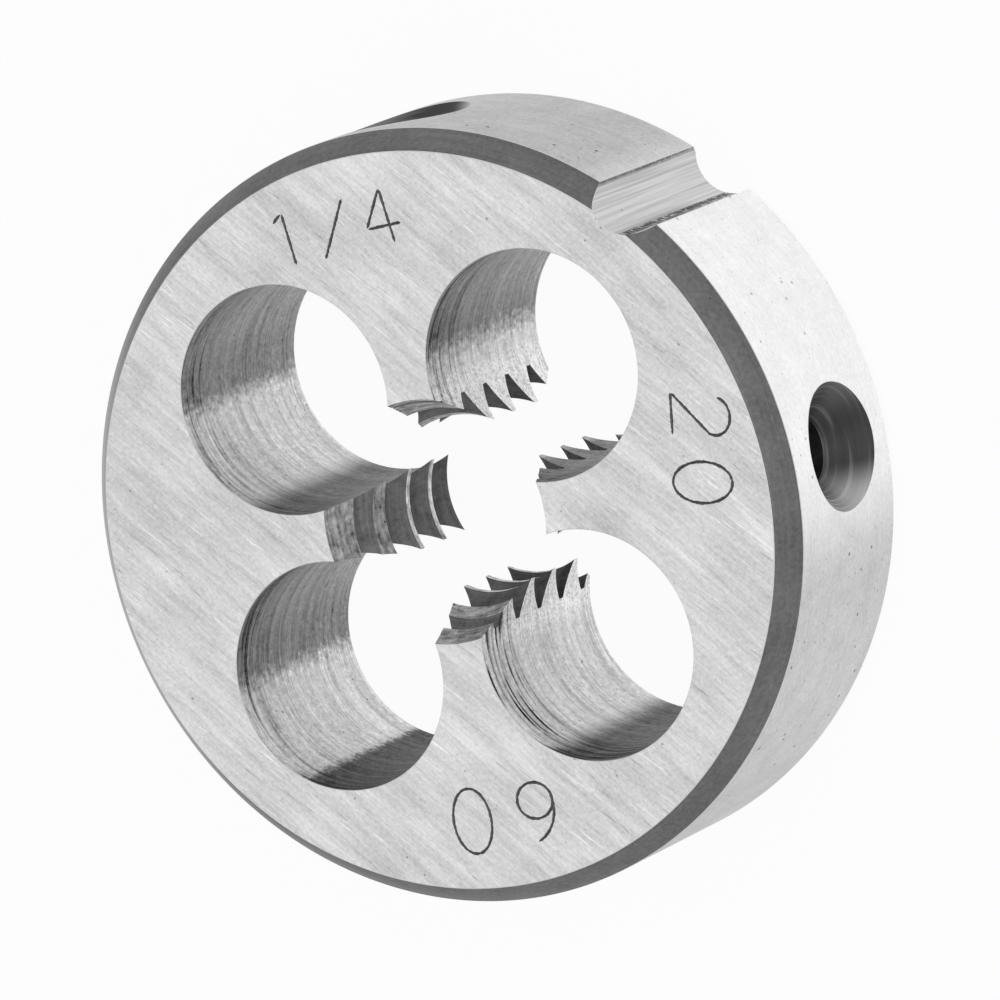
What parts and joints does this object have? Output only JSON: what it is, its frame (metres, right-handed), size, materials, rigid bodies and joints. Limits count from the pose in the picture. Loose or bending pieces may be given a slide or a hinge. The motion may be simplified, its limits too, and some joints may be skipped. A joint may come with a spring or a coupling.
{
  "type": "round threading die",
  "caption": "Round threading die: a steel disc with a threaded bore opened by drilled chip holes, an adjusting groove and screw dimples in its rim.",
  "frame": {"origin": "centre of the back face, where the die rests, on the axis of its thread", "axes": "+Z along the axis of the thread, from the back face to the marked front face where the work goes in; +X through the middle of a land, beside one of the two dimples"},
  "size_m": [0.0206, 0.0206, 0.0063],
  "materials": {
    "tool_steel": "hardened tool steel, faces ground to fine straight scratches, rim and chamfer turned smooth"
  },
  "bodies": {
    "root": {"threading_die": "tool_steel"}
  },
  "joints": []
}
